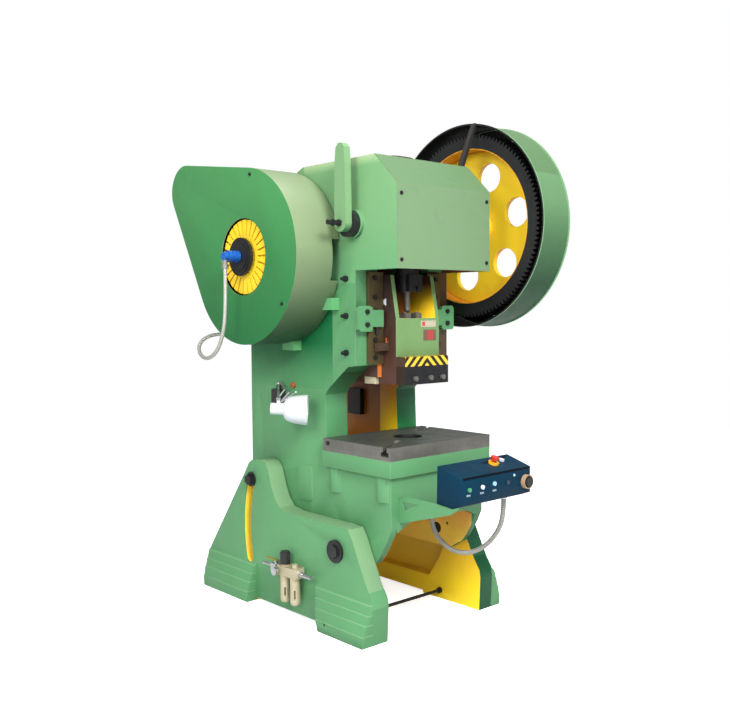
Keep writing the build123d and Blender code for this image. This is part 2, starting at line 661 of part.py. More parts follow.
def raised(place, way, distance):
    out = Vector(*way).normalized() * distance
    return (place[0] + out.X, place[1] + out.Y, place[2] + out.Z)


def make_console():
    profile = [(-212, 872), (-353, 830), (-353, 704), (-308, 687), (-208, 697)]
    body = slab(profile, -260, 240)
    for spot, radius in ((on_top(60, -275), 10), (on_top(135, -262), 13), (on_front(203, 69), 10)):
        place, way = spot
        body -= bar(raised(place, way, -16), way, radius + gap, 30)
    keep("console_box", body)
    arm = [(28, 565), (28, 690), (-60, 700), (-208, 696.5), (-308, 686), (-338, 698), (-348, 690), (-300, 660)]
    hole = [(10, 675), (-95, 676), (5, 628)]
    plate = slab(arm, -268, -260) - slab(hole, -269, -259)
    keep("console_arms", plate, box(150, 158, -208, 28, 715, 790))


def make_buttons():
    place, way = on_top(60, -275)
    collar = bar(place, way, 26, 10) - bar(place, way, 10 + gap, 20)
    keep("stop_button", bar(raised(place, way, -4), way, 10, 26) + bar(raised(place, way, 22), way, 20, 14))
    place, way = on_top(135, -262)
    keep("run_button", bar(raised(place, way, -6), way, 13, 15))
    place, way = on_front(203, 69)
    guard = bar(place, way, 34, 22) - bar(raised(place, way, 3), way, 29, 40) - bar(place, way, 10 + gap, 20)
    keep("button_collars", collar, guard)
    keep("palm_button", bar(raised(place, way, -4), way, 10, 15) + bar(raised(place, way, 10), way, 24, 20))
    lights = []
    for x, drop, radius in ((-200, 57, 10), (-111, 55, 10), (-27, 50, 10), (68, 56, 11)):
        place, way = on_front(x, drop)
        lights.append(bar(place, way, radius, 8))
    keep("console_lights", *lights)


def make_lamp():
    box_shape = box(-368, -frame_half, 850, 925, 1080, 1165)
    keep("lamp_box", box_shape + bar((-346, 887, 1165), (0, 0, 1), 12, 22))
    reach = Vector(0.746, -0.666, -0.05).normalized()
    mouth = Vector(-388, 584, 1077)
    base = mouth - reach * 188
    profile = [(0, 0), (30, 0), (31, 70), (50, 84), (66, 120), (78, 188), (76, 188), (63, 120), (47, 88), (0, 80)]
    outline = make_face(Plane.XZ * Polyline(*profile, close=True))
    neck = base + reach * 40
    shade = Part() + Plane(origin=base, z_dir=reach) * revolve(outline, axis=Axis.Z)
    shade += rod_z(neck.X, neck.Y, 9, neck.Z + 10, neck.Z + 44)
    keep("lamp_shade", shade)
    start = Vector(-346, 887, 1194)
    end = Vector(neck.X, neck.Y, neck.Z + 51)
    run = end - start
    link = rod_z(start.X, start.Y, 14, 1187 + gap, 1201)
    link += rod_z(end.X, end.Y, 12, neck.Z + 44 + gap, neck.Z + 58)
    bow = bar((start.X, start.Y, start.Z), (run.X, run.Y, run.Z), 6, run.length)
    bow -= rod_z(start.X, start.Y, 13, 1100, 1187 + gap) + rod_z(end.X, end.Y, 12, 1000, neck.Z + 44 + gap)
    keep("lamp_arm", link + bow)


hose_path = [(-712, 831, 1800), (-712, 831, 1640), (-709, 852, 1490), (-704, 925, 1378), (-698, 1030, 1332),
             (-688, 1125, 1352), (-655, 1190, 1410), (-580, 1205, 1455), (-490, 1160, 1462), (-400, 1135, 1460)]
conduit_path = [(157, -258, 672), (157, -258, 592), (168, -218, 500), (158, -140, 408), (128, -50, 360),
                (86, 35, 372), (50, 92, 440), (30, 110, 520), (30, 110, 600)]


def make_cords():
    hose_path[-1] = (-400, hose_path[-2][1], hose_path[-2][2])
    keep("air_hose", tube(hose_path, 10, "air_hose"))
    keep("console_conduit", tube(conduit_path, 12, "console_conduit"))
    x, y, z = hose_path[-1]
    keep("clutch_valve", box(-376, -frame_half, y - 28, y + 28, z - 28, z + 28))
    elbow = rod_z(-712, shaft_y, 13, 1812, 1850) + rod_z(-712, shaft_y, 17, 1800, 1822)
    elbow -= rod_x(shaft_y, shaft_z, 22, -730, -690) + rod_x(shaft_y, shaft_z, 30, -700, -690)
    console_end = rod_z(157, -258, 17, 672, 720) - slab([(-353, 687), (-308, 687), (-208, 697), (-208, 800),
                                                         (-353, 800)], 100, 200)
    keep("cord_fittings", elbow, rod_x(y, z, 13, x, -376), console_end, rod_z(30, 110, 16, 600, 612))


def make_small():
    keep("terminal_boxes", box(253, 285, 902, 1011, 975, 1126), box(-20, 80, front_plate_y + 30, 140, 612, 700))
    tubes = tube([(-79, 300, 2327), (-79, 300, 2350), (-58, 300, 2363), (-10, 300, 2366), (40, 300, 2366.5),
                  (85, 300, 2366), (116, 300, 2358), (128, 300, 2345), (128, 300, 2327)], 6, "oil tube")
    keep("oil_tubes", tubes, Pos(180, 20, 0) * tubes)


make_legs()
make_air_unit()
make_frame()
make_bolster()
make_head_cover()
make_guides()
make_crank()
make_rod()
make_pinion()
make_flywheel()
make_union()
make_motor()
make_guards()
make_slide()
make_lever()
make_console()
make_buttons()
make_lamp()
make_cords()
make_small()

os.makedirs("parts", exist_ok=True)
for name, solids in pieces.items():
    moved = [Pos(0, -anchor_mid_y, 0) * solid for solid in solids]
    node = moved[0] if len(moved) == 1 else Compound(label=name, children=moved)
    node.label = name
    export_step(node, "parts/" + name + ".step")
    print(name, len(solids), round(sum(solid.volume for solid in solids) / 1e6, 3))
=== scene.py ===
import json
import math

import bpy
from mathutils import Matrix, Vector

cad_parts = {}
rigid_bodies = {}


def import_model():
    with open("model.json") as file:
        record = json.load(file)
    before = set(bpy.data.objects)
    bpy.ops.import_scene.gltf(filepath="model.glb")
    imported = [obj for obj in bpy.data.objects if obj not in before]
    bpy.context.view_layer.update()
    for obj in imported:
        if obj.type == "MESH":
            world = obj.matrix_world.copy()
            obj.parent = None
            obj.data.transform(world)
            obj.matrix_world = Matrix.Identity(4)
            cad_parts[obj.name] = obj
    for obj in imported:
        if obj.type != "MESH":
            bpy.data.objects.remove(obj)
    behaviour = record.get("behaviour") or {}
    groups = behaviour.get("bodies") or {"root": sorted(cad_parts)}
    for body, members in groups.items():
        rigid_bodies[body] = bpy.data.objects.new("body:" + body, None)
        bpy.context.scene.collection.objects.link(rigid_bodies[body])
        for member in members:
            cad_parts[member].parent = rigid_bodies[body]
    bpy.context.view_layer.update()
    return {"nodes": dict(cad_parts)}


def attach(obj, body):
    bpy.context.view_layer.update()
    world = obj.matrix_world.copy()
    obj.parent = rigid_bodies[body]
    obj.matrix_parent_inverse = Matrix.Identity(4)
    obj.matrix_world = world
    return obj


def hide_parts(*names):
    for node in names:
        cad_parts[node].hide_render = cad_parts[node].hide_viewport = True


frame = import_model()
nodes = frame["nodes"]
bpy.ops.object.select_all(action="DESELECT")

# Camera
cameraSettings = {
    "place": (-3.253, -3.9475, 1.592),
    "yaw": 41.73,       # degrees from straight ahead towards the right
    "pitch": -3.14,
    "roll": -0.35,
    "lens": 44.8,
    "sensor": 36,
    "farthest": 200,
}


def addCamera(values):
    bpy.ops.object.camera_add()
    camera = bpy.context.object
    camera.name = "pressCamera"
    turn = Matrix.Rotation(math.radians(-values["yaw"]), 4, "Z")
    tip = Matrix.Rotation(math.radians(90 + values["pitch"]), 4, "X")
    roll = Matrix.Rotation(math.radians(values["roll"]), 4, "Z")
    camera.matrix_world = Matrix.Translation(values["place"]) @ turn @ tip @ roll
    camera.data.lens = values["lens"]
    camera.data.sensor_width = values["sensor"]
    camera.data.clip_end = values["farthest"]
    bpy.context.scene.camera = camera
    print("camera placed")


addCamera(cameraSettings)

# Cords
cordDetail = {"around": 5, "along": 14, "order": 3}
airHose = {
    "name": "braided_air_hose",
    "node": "air_hose",
    "radius": 0.010,
    "length": 1.011,
    "stiffness": "medium",
    "points": [
        (-0.712, -0.0415, 1.800), (-0.712, -0.0415, 1.640), (-0.709, -0.0205, 1.490),
        (-0.704, 0.0525, 1.378), (-0.698, 0.1575, 1.332), (-0.688, 0.2525, 1.352),
        (-0.655, 0.3175, 1.410), (-0.580, 0.3325, 1.455), (-0.490, 0.2875, 1.462),
        (-0.400, 0.2875, 1.462),
    ],
}
consoleConduit = {
    "name": "console_cable_conduit",
    "node": "console_conduit",
    "radius": 0.012,
    "length": 0.753,
    "stiffness": "medium",
    "points": [
        (0.157, -1.1305, 0.672), (0.157, -1.1305, 0.592), (0.168, -1.0905, 0.500),
        (0.158, -1.0125, 0.408), (0.128, -0.9225, 0.360), (0.086, -0.8375, 0.372),
        (0.050, -0.7805, 0.440), (0.030, -0.7625, 0.520), (0.030, -0.7625, 0.600),
    ],
}


def layCord(values):
    line = bpy.data.curves.new(values["name"], "CURVE")
    line.dimensions = "3D"
    line.bevel_depth = values["radius"]
    line.bevel_resolution = cordDetail["around"]
    line.resolution_u = cordDetail["along"]
    line.use_fill_caps = True
    run = line.splines.new("NURBS")
    run.points.add(len(values["points"]) - 1)
    for spot, place in zip(run.points, values["points"]):
        spot.co = (*place, 1.0)
    run.use_endpoint_u = True
    run.order_u = cordDetail["order"]
    cord = bpy.data.objects.new(values["name"], line)
    bpy.context.collection.objects.link(cord)
    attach(cord, "frame")
    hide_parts(values["node"])
    return cord


hoseCord = layCord(airHose)
conduitCord = layCord(consoleConduit)
print("cords laid")

# Floor and light
studio = {
    "floor": 16.0,
    "floorSquares": 8,
    "floorColour": (246, 247, 246),
    "floorSecond": (250, 250, 250),
    "floorShade": (238, 240, 238),   # how it lights the press; the camera sees floorColour
    "floorGrain": 3.0,
    "floorGlow": 0.75,
    "floorRoughness": 0.9,
    "floorShine": 0.1,
    "worldColour": (255, 255, 255),
    "skyStrength": 0.40,
    "lights": [
        ("frontLight", (-2.4, -6.2, 5.2), (0.0, -0.4, 1.3), 2.4, 520.0),
        ("sideLight", (-6.0, -2.2, 4.3), (0.0, 0.0, 1.4), 3.2, 270.0),
        ("topLight", (0.4, -0.8, 7.0), (0.0, 0.0, 1.0), 2.6, 210.0),
    ],
}


def fromScreen(colour):
    mixed = []
    for value in colour:
        part = value / 255
        mixed.append(part / 12.92 if part <= 0.04045 else ((part + 0.055) / 1.055) ** 2.4)
    return (*mixed, 1.0)


def addNode(tree, kind, settings=None, inputs=None):
    made = tree.nodes.new(kind)
    for key, value in (settings or {}).items():
        setattr(made, key, value)
    for key, value in (inputs or {}).items():
        if isinstance(value, bpy.types.NodeSocket):
            tree.links.new(value, made.inputs[key])
        else:
            made.inputs[key].default_value = value
    return made


def addStudio(values):
    squares = values["floorSquares"]
    bpy.ops.mesh.primitive_grid_add(x_subdivisions=squares, y_subdivisions=squares, size=values["floor"])
    floor = bpy.context.object
    floor.name = "studioFloor"
    surface = bpy.data.materials.new("studioFloor")
    surface.use_nodes = True
    tree = surface.node_tree
    shader = tree.nodes["Principled BSDF"]
    spots = addNode(tree, "ShaderNodeTexCoord")
    grain = addNode(tree, "ShaderNodeTexNoise", inputs={
        "Vector": spots.outputs["Object"], "Scale": values["floorGrain"]})
    tone = addNode(tree, "ShaderNodeMix", {"data_type": "RGBA"}, {0: grain.outputs["Fac"]})
    tone.inputs[6].default_value = fromScreen(values["floorColour"])
    tone.inputs[7].default_value = fromScreen(values["floorSecond"])
    seen = addNode(tree, "ShaderNodeLightPath").outputs["Is Camera Ray"]
    shown = addNode(tree, "ShaderNodeMix", {"data_type": "RGBA"}, {0: seen, 7: tone.outputs[2]})
    shown.inputs[6].default_value = fromScreen(values["floorShade"])
    tree.links.new(shown.outputs[2], shader.inputs["Base Color"])
    glow = addNode(tree, "ShaderNodeMath", {"operation": "MULTIPLY"}, {0: seen, 1: values["floorGlow"]})
    tree.links.new(glow.outputs[0], shader.inputs["Emission Strength"])
    shader.inputs["Emission Color"].default_value = fromScreen(values["worldColour"])
    shader.inputs["Roughness"].default_value = values["floorRoughness"]
    shader.inputs["Specular IOR Level"].default_value = values["floorShine"]
    floor.data.materials.append(surface)

    world = bpy.data.worlds.new("studioWorld")
    bpy.context.scene.world = world
    world.use_nodes = True
    sky = world.node_tree
    back = sky.nodes["Background"]
    back.inputs["Color"].default_value = fromScreen(values["worldColour"])
    seen = addNode(sky, "ShaderNodeLightPath").outputs["Is Camera Ray"]
    strength = addNode(sky, "ShaderNodeMapRange", inputs={
        0: seen, 1: 0.0, 2: 1.0, 3: values["skyStrength"], 4: 1.0})
    sky.links.new(strength.outputs[0], back.inputs["Strength"])
    for name, place, aim, size, power in values["lights"]:
        bpy.ops.object.light_add(type="AREA", location=place)
        light = bpy.context.object
        light.name = name
        light.data.shape = "DISK"
        light.data.size = size
        light.data.energy = power
        light.rotation_euler = (Vector(aim) - Vector(place)).to_track_quat("-Z", "Y").to_euler()
    bpy.context.scene.view_settings.view_transform = "Standard"
    print("floor and lights placed")


addStudio(studio)

# Finishes
# A zone is a colour and the limits that it holds in. A limit names x, y, z in metres, ax for the
# distance from the middle, nx, ny, nz for the way the face points, and inward, below 0 where it
# faces the middle. rim, slot and drop are distances from the crankshaft, the leg slot's middle and
# the bolster hole, and guardInside is below 0 where the gear guard faces its gear.
# A fading colour is (axis, start, end, colour at start, colour at end).
# Each paint's third colour, for faces that point down, is painted shade.
paints = {
    "green_paint": {
        "colour": (94, 151, 103), "second": (86, 144, 97), "under": (6, 78, 42),
        "roughness": 0.42, "grain": 260.0, "bump": 0.05,
    },
    # The green paint made paler for the head cover: a painted sheen on its lit front.
    "cover_sheen_paint": {
        "colour": (121, 150, 113), "second": (115, 144, 107), "under": (6, 78, 42),
        "roughness": 0.42, "grain": 260.0, "bump": 0.05,
    },
    # A paler green for the rounded edges: a painted highlight where they catch the light.
    "edge_highlight_paint": {
        "colour": (134, 160, 124), "second": (122, 154, 114), "under": (40, 110, 66),
        "roughness": 0.4, "grain": 260.0, "bump": 0.04,
    },
    # The green paint made paler for the side lever: a painted sheen.
    "lever_sheen_paint": {
        "colour": (124, 162, 116), "second": (116, 156, 110), "under": (30, 100, 60),
        "roughness": 0.42, "grain": 260.0, "bump": 0.05,
    },
    "yellow_paint": {
        "colour": (246, 212, 40), "second": (244, 206, 44), "under": (222, 150, 40),
        "roughness": 0.40, "grain": 260.0, "bump": 0.05,
    },
    "navy_paint": {
        "colour": (4, 50, 72), "second": (2, 42, 63), "under": (2, 20, 36), "shine": 0.12,
        "roughness": 0.5, "grain": 300.0, "bump": 0.06,
    },
    "black_paint": {
        "colour": (34, 34, 34), "second": (46, 44, 42), "under": (18, 18, 18),
        "roughness": 0.45, "grain": 260.0, "bump": 0.06,
    },
    "white_enamel": {
        "colour": (222, 223, 226), "second": (212, 215, 219), "under": (176, 184, 190),
        "roughness": 0.28, "grain": 160.0, "bump": 0.03,
    },
    "blue_paint": {
        "colour": (28, 104, 190), "second": (20, 84, 166), "under": (12, 50, 110),
        "roughness": 0.34, "grain": 260.0, "bump": 0.04,
    },
}
metals = {
    "machined_steel": {"colour": (122, 120, 114), "second": (100, 99, 95), "roughness": 0.46,
                       "metallic": 0.45, "grain": (18.0, 420.0, 18.0), "bump": 0.10},
    "dark_steel": {"colour": (50, 50, 52), "second": (34, 34, 36), "roughness": 0.44,
                   "metallic": 0.5, "grain": (90.0, 90.0, 90.0), "bump": 0.12},
    "cast_steel": {"colour": (98, 74, 58), "second": (66, 48, 40), "roughness": 0.5,
                   "metallic": 0.35, "grain": (60.0, 60.0, 60.0), "bump": 0.15},
    "bronze": {"colour": (176, 132, 70), "second": (142, 100, 50), "roughness": 0.38,
               "metallic": 0.8, "grain": (80.0, 80.0, 80.0), "bump": 0.08},
    "bright_steel": {"colour": (206, 206, 210), "second": (176, 176, 182), "roughness": 0.24,
                     "metallic": 0.9, "grain": (120.0, 120.0, 120.0), "bump": 0.05},
    "air_unit_metal": {"colour": (206, 196, 168), "second": (172, 160, 130), "roughness": 0.36,
                       "metallic": 0.25, "grain": (140.0, 140.0, 140.0), "bump": 0.10},
    "olive_steel": {"colour": (104, 92, 58), "second": (76, 62, 40), "roughness": 0.42,
                    "metallic": 0.4, "grain": (26.0, 26.0, 3.0), "bump": 0.10},
    "blackened_teeth": {"colour": (44, 42, 46), "second": (28, 26, 28), "roughness": 0.4,
                        "metallic": 0.55, "grain": (140.0, 140.0, 140.0), "bump": 0.10},
}
plastics = {
    "black_plastic": {"colour": (26, 26, 28), "second": (38, 38, 40), "roughness": 0.42,
                      "grain": 700.0, "bump": 0.10},
    "yellow_plastic": {"colour": (240, 190, 40), "second": (226, 170, 30), "roughness": 0.36,
                       "grain": 700.0, "bump": 0.08},
    "red_plastic": {"colour": (206, 52, 32), "second": (182, 38, 26), "roughness": 0.3,
                    "grain": 700.0, "bump": 0.06},
    "white_plastic": {"colour": (226, 232, 236), "second": (206, 214, 222), "roughness": 0.32,
                      "grain": 700.0, "bump": 0.06},
    "belt_rubber": {"colour": (30, 30, 32), "second": (44, 43, 42), "roughness": 0.75,
                    "grain": 500.0, "bump": 0.2},
    "pale_glass": {"colour": (150, 200, 226), "second": (190, 222, 236), "roughness": 0.2,
                   "grain": 300.0, "bump": 0.02},
    "label_white": {"colour": (150, 170, 176), "second": (90, 116, 128), "roughness": 0.5,
                    "grain": 400.0, "bump": 0.03},
    "olive_lever": {"colour": (150, 142, 66), "second": (122, 116, 52), "roughness": 0.4,
                    "grain": 400.0, "bump": 0.08},
    "orange_plastic": {"colour": (168, 88, 40), "second": (146, 70, 32), "roughness": 0.34,
                       "grain": 500.0, "bump": 0.06},
}
# Most of these zones paint light and shade into the colour: faces darker towards the bottom or in recesses,
# painted shadows and painted highlights.
zones = {
    "frame_green": [
        # Painted light on the left side: the head side lighter towards the top, a painted shadow on the
        # column under the belt guard, and a painted highlight along the head's top edge.
        (("z", 1.72, 2.05, (94, 151, 103), (108, 154, 106)),
         [("nx", "<", -0.5), ("z", ">", 1.72), ("x", "<", -0.3), ("y", "<", 0.1)]),
        (("z", 1.12, 1.42, (90, 149, 100), (12, 100, 54)),
         [("nx", "<", -0.5), ("x", "<", -0.3), ("z", ">", 1.18), ("z", "<", 1.75), ("y", ">", -0.42)]),
        (("z", 2.28, 2.33, (108, 154, 106), (160, 184, 138)),
         [("nx", "<", -0.5), ("z", ">", 2.28), ("x", "<", -0.3), ("y", "<", -0.2)]),
        # Painted shade: the right column's front darker towards the top and dark brown further up behind the
        # slide, the yellow inside of the throat turning orange-brown towards the top, and the left column's
        # sloping front faces darker towards the top.
        (("z", 0.96, 1.12, (50, 150, 88), (8, 84, 48)),
         [("x", ">", 0.178), ("ny", "<", -0.3), ("y", ">", -0.5), ("z", ">", 0.93), ("z", "<", 1.2)]),
        ((78, 58, 42),
         [("x", ">", 0.178), ("ny", "<", -0.3), ("y", ">", -0.7), ("z", ">", 1.2), ("z", "<", 1.785)]),
        (("z", 0.95, 1.2, (250, 208, 26), (206, 122, 44)),
         [("ax", "<", 0.2), ("inward", "<", -0.1), ("z", ">", 0.9), ("z", "<", 1.4)]),
        (("z", 0.9, 1.2, (226, 150, 50), (112, 58, 40)),
         [("ax", ">", 0.2), ("ax", "<", 0.29), ("inward", "<", -0.1), ("z", ">", 0.8)]),
        (("z", 1.08, 1.28, (84, 146, 96), (22, 62, 38)),
         [("x", "<", -0.178), ("ny", "<", -0.3), ("y", ">", -0.5), ("z", ">", 0.95), ("z", "<", 1.78)]),
        # Yellow under the bed turning orange towards the top, painted shade; the bolster hole dark, painted
        # shade.
        (("z", 0.4, 0.64, (255, 216, 90), (244, 138, 96)),
         [("ax", "<", 0.286), ("y", ">", -0.81), ("ny", "<", 0.5), ("z", "<", 0.793)]),
        (("z", 0.4, 0.62, (255, 176, 110), (190, 92, 70)),
         [("ax", "<", 0.286), ("ny", "<", -0.3), ("y", ">", -0.81), ("z", "<", 0.793)]),
        ((30, 26, 24), [("drop", "<", 0.104), ("z", ">", 0.7), ("z", "<", 0.9)]),
    ],
    "console_navy": [
        # Painted shadow: a near-black band on the front faces just under the lid's edge.
        ((2, 10, 18), [("ny", "<", -0.3), ("z", ">", 0.819), ("x", ">", -0.24)]),
    ],
    "green_edge": [
        # On the rounded edges: yellow under the bed turning orange towards the top and dark brown behind the
        # slide, both painted shade; the plain yellow inside the right leg is the paint; the left side's
        # edges darker towards the bottom, painted shade.
        (("z", 0.4, 0.66, (255, 214, 100), (206, 128, 90)),
         [("ax", "<", 0.29), ("y", ">", -0.81), ("y", "<", 0.0), ("ny", "<", 0.5), ("z", "<", 0.793)]),
        ((60, 44, 34), [("ax", "<", 0.29), ("y", ">", -0.6), ("z", ">", 1.2), ("z", "<", 1.785)]),
        ((240, 200, 40), [("x", ">", 0.3), ("x", "<", 0.42), ("z", "<", 0.75)]),
        (("z", 1.5, 1.9, (20, 96, 56), (134, 160, 124)),
         [("x", "<", -0.33), ("ny", "<", 0.5), ("z", "<", 2.4), ("z", ">", 1.3)]),
    ],
    "cover_green": [
        # Upward faces of the cover darker: painted shade.
        ((95, 127, 89), [("nz", ">", 0.2)]),
    ],
    "leg_green": [
        # Painted light: the left leg's upward faces paler, and thin pale bands along the foot's steps as
        # painted highlights.
        ((118, 156, 114), [("x", "<", -0.3), ("nz", ">", 0.3), ("z", ">", 0.25)]),
        ((112, 160, 114), [("x", "<", -0.43), ("z", ">", 0.193), ("z", "<", 0.199)]),
        ((110, 158, 112), [("x", "<", -0.43), ("z", ">", 0.148), ("z", "<", 0.153)]),
        ((110, 158, 112), [("x", "<", -0.43), ("z", ">", 0.103), ("z", "<", 0.108)]),
        ((108, 156, 110), [("x", "<", -0.43), ("z", ">", 0.053), ("z", "<", 0.058)]),
        ((255, 206, 50),
         [("x", ">", 0.3), ("x", "<", 0.425), ("y", ">", -0.75), ("ny", "<", 0.5), ("z", "<", 0.3)]),
        # Painted shade: the right leg's front faces dark green, and the yellow inner faces turning orange
        # towards the top.
        ((4, 74, 40), [("x", ">", 0.325), ("x", "<", 0.425), ("ny", "<", -0.3), ("y", "<", -0.7)]),
        (("z", 0.1, 0.5, (255, 222, 30), (240, 170, 70)), [("inward", "<", -0.1), ("ax", "<", 0.41)]),
        ((246, 212, 70),
         [("ax", ">", 0.335), ("ax", "<", 0.425), ("z", "<", 0.705), ("slot", "<", 0.033)]),
        # Painted shade: the right leg's upper front faces dark green.
        ((28, 96, 62), [("ny", "<", -0.5), ("x", ">", 0.3), ("z", ">", 0.28)]),
    ],
    "gear_yellow": [
        ((30, 29, 32), [("rim", ">", 0.4145)]),
        # Painted shade: an orange band on the rim's inner wall around the yellow web.
        ((226, 150, 40), [("rim", ">", 0.405), ("rim", "<", 0.4145)]),
    ],
    "guard_green": [
        # Painted shade: the guard darker towards the bottom; its upward faces take a set colour, painted
        # light.
        (("z", 1.72, 2.12, (0, 62, 28), (96, 136, 95)), [("y", "<", 0.6)]),
        ((88, 122, 82), [("nz", ">", 0.45)]),
        # Painted shade: faces inside the guard, towards the gear, black.
        ((22, 22, 22), [("guardInside", "<", -0.2)]),
        ((22, 24, 23), [("nx", "<", -0.5), ("x", "<", 0.43)]),
        # A painted highlight: a pale strip on the guard's outer band near its front lip.
        ((132, 172, 134), [("x", "<", 0.4245), ("guardInside", ">", 0.2)]),
        ((120, 160, 120), [("x", ">", 0.63)]),
    ],
    "belt_guard_green": [
        # Painted shade: the guard's face and rim darker towards the bottom, and its inside faces black.
        (("z", 1.3, 2.2, (4, 96, 46), (66, 136, 78)), [("nx", "<", -0.5), ("x", "<", -0.55)]),
        (("z", 1.42, 1.9, (0, 50, 26), (122, 140, 104)),
         [("nx", ">", -0.5), ("ny", "<", 0.5), ("z", "<", 2.35)]),
        ((20, 22, 22), [("nx", ">", 0.5), ("x", "<", -0.5)]),
    ],
    "slide_green": [
        # The slide's left side: brown unpainted steel, darker towards the top as painted shade.
        (("z", 1.25, 1.7, (74, 46, 36), (44, 30, 26)), [("nx", "<", -0.5), ("x", "<", -0.14)]),
        # Front faces paler: a painted sheen.
        ((112, 147, 95), [("ny", "<", -0.5), ("y", "<", -0.65)]),
        ((70, 48, 40), [("nx", ">", 0.5), ("x", ">", 0.14)]),
        # Yellow inside the slide's pocket, turning dark brown towards the top as painted shade; the back
        # wall of the pocket likewise.
        (("z", 1.58, 1.72, (248, 206, 34), (72, 40, 28)), [("inward", "<", -0.03)]),
        (("z", 1.56, 1.68, (196, 112, 48), (50, 34, 28)), [("ny", "<", -0.5), ("y", ">", -0.65)]),
        # Pale upward faces low in the pocket: a painted highlight.
        ((232, 222, 160), [("nz", ">", 0.5), ("z", ">", 1.5), ("z", "<", 1.6)]),
    ],
    "bolster_steel": [
        ((88, 92, 86), [("nz", ">", 0.5)]),
        # Painted shade: the inside of the bolster hole dark.
        ((26, 26, 26), [("drop", "<", 0.0765), ("nz", "<", 0.5)]),
    ],
    "clamp_steel": [
        ((60, 44, 36), [("nx", "<", -0.5)]),
    ],
    "light_caps": [
        ((70, 150, 100), [("x", "<", -0.15)]),
        ((150, 196, 226), [("x", ">", -0.07), ("x", "<", 0.0)]),
        ((36, 52, 72), [("x", ">", 0.03)]),
    ],
    "collars": [
        ((168, 140, 110), [("x", ">", 0.15)]),
    ],
    "brackets": [
        ((92, 160, 104), [("x", "<", 0.0)]),
    ],
    "plates": [
        ((186, 176, 156), [("z", ">", 1.495), ("z", "<", 1.54)]),
        ((112, 86, 74), [("z", "<", 1.49), ("z", ">", 1.4)]),
        ((172, 66, 62), [("z", "<", 1.483), ("z", ">", 1.435), ("x", ">", 0.066), ("x", "<", 0.108)]),
        ((196, 70, 60), [("z", ">", 1.505), ("z", "<", 1.527), ("x", ">", 0.03), ("x", "<", 0.05)]),
    ],
    "unit_beige": [
        ((66, 64, 62), [("y", ">", -0.16)]),
    ],
}


pressLines = {
    "crank": (-0.6241, 2.0332),
    "tiltPivot": (-0.5595, 0.405),
    "slotRadius": 0.763,
    "bolsterHoleY": -0.6275,
}


def calc(tree, operation, first, second=0.0):
    return addNode(tree, "ShaderNodeMath", {"operation": operation}, {0: first, 1: second}).outputs[0]


def readPlaces(tree):
    spots = addNode(tree, "ShaderNodeTexCoord")
    place = addNode(tree, "ShaderNodeSeparateXYZ", inputs={0: spots.outputs["Object"]})
    face = addNode(tree, "ShaderNodeSeparateXYZ", inputs={0: spots.outputs["Normal"]})
    found = {"spots": spots.outputs["Object"]}
    for index, axis in enumerate("xyz"):
        found[axis] = place.outputs[index]
        found["n" + axis] = face.outputs[index]
    return found


def distanceFrom(tree, found, centre):
    away = calc(tree, "SUBTRACT", found["y"], centre[0])
    rise = calc(tree, "SUBTRACT", found["z"], centre[1])
    return calc(tree, "SQRT", calc(tree, "ADD", calc(tree, "MULTIPLY", away, away),
                                   calc(tree, "MULTIPLY", rise, rise)))


def readExtra(tree, found, name):
    if name in found:
        return found[name]
    if name == "ax":
        found[name] = calc(tree, "ABSOLUTE", found["x"])
    if name == "inward":
        found[name] = calc(tree, "MULTIPLY", found["x"], found["nx"])
    if name == "rim":
        found[name] = distanceFrom(tree, found, pressLines["crank"])
    if name == "slot":
        fromPivot = distanceFrom(tree, found, pressLines["tiltPivot"])
        found[name] = calc(tree, "ABSOLUTE", calc(tree, "SUBTRACT", fromPivot, pressLines["slotRadius"]))
    if name == "drop":
        side = calc(tree, "MULTIPLY", found["x"], found["x"])
        away = calc(tree, "SUBTRACT", found["y"], pressLines["bolsterHoleY"])
        found[name] = calc(tree, "SQRT", calc(tree, "ADD", side, calc(tree, "MULTIPLY", away, away)))
    if name == "guardInside":
        crankY, crankZ = pressLines["crank"]
        away = calc(tree, "MULTIPLY", calc(tree, "SUBTRACT", found["y"], crankY), found["ny"])
        rise = calc(tree, "MULTIPLY", calc(tree, "SUBTRACT", found["z"], crankZ), found["nz"])
        found[name] = calc(tree, "ADD", away, rise)
    return found[name]


def zoneMask(tree, found, limits):
    mask = None
    for axis, side, value in limits:
        operation = "GREATER_THAN" if side == ">" else "LESS_THAN"
        step = calc(tree, operation, readExtra(tree, found, axis), value)
        mask = step if mask is None else calc(tree, "MULTIPLY", mask, step)
    return mask


def zoneColour(tree, found, colour):
    if isinstance(colour[0], str):
        axis, start, end, first, last = colour
        fade = addNode(tree, "ShaderNodeMapRange", inputs={
            0: readExtra(tree, found, axis), 1: start, 2: end, 3: 0.0, 4: 1.0})
        blend = addNode(tree, "ShaderNodeMix", {"data_type": "RGBA"}, {0: fade.outputs[0]})
        blend.inputs[6].default_value = fromScreen(first)
        blend.inputs[7].default_value = fromScreen(last)
        return blend.outputs[2]
    return fromScreen(colour)


def mixColour(tree, factor, first, second, blend="MIX"):
    mixed = addNode(tree, "ShaderNodeMix", {"data_type": "RGBA", "blend_type": blend}, {0: factor})
    for index, colour in ((6, first), (7, second)):
        if isinstance(colour, bpy.types.NodeSocket):
            tree.links.new(colour, mixed.inputs[index])
        else:
            mixed.inputs[index].default_value = colour
    return mixed.outputs[2]


def startFinish(name):
    finish = bpy.data.materials.new(name)
    finish.use_nodes = True
    tree = finish.node_tree
    return finish, tree, tree.nodes["Principled BSDF"], readPlaces(tree)


def addBump(tree, shader, height, strength, distance):
    bump = addNode(tree, "ShaderNodeBump", inputs={"Height": height, "Strength": strength,
                                                  "Distance": distance})
    tree.links.new(bump.outputs[0], shader.inputs["Normal"])


